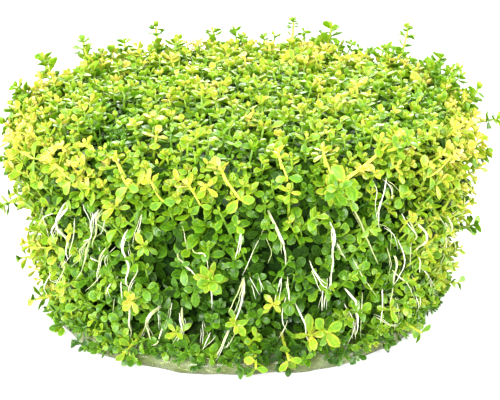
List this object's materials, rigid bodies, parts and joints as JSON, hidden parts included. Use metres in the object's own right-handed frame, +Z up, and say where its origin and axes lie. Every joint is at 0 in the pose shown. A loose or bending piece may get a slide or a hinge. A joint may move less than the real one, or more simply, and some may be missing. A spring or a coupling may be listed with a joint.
{
  "type": "dwarf baby tears plug",
  "caption": "Round cushion of tiny-leaved carpet plant with loose sprigs and white roots, on a thin pad of the gel that it grew in.",
  "frame": {"origin": "middle of the flat underside of the gel pad", "axes": "+Z up through the plug; the side seen in the picture faces -Y"},
  "size_m": [0.0751, 0.0715, 0.0379],
  "materials": {
    "leaf": "small satin leaves, mid green with lighter edges",
    "sprig": "young leaves and stems, bright yellow green, satin",
    "root": "moist ivory white",
    "gel": "clear glossy gel with an olive grey tint"
  },
  "bodies": {
    "root": {"gel_pad": "gel", "leaf_mat": "leaf", "sprig_01": "sprig", "sprig_02": "sprig", "sprig_03": "sprig", "sprig_04": "sprig", "sprig_05": "sprig", "sprig_06": "sprig", "sprig_07": "sprig", "sprig_08": "sprig", "sprig_09": "sprig", "sprig_10": "sprig", "sprig_11": "sprig", "sprig_12": "sprig", "sprig_13": "sprig", "sprig_14": "sprig", "sprig_15": "sprig", "sprig_16": "sprig", "sprig_17": "sprig", "sprig_18": "sprig", "sprig_19": "sprig", "sprig_20": "sprig", "sprig_21": "sprig", "sprig_22": "sprig", "sprig_23": "sprig", "sprig_24": "sprig", "sprig_25": "sprig", "sprig_26": "sprig", "sprig_27": "sprig", "sprig_28": "sprig", "sprig_29": "sprig", "sprig_30": "sprig", "sprig_31": "sprig", "sprig_32": "sprig", "sprig_33": "sprig", "sprig_34": "sprig", "sprig_35": "sprig", "root_01": "root", "root_02": "root", "root_03": "root", "root_04": "root", "root_05": "root", "root_06": "root", "root_07": "root", "root_08": "root", "root_09": "root", "root_10": "root", "root_11": "root", "root_12": "root", "root_13": "root", "root_14": "root", "root_15": "root", "root_16": "root", "root_17": "root", "root_18": "root", "root_19": "root", "root_20": "root"}
  },
  "joints": []
}
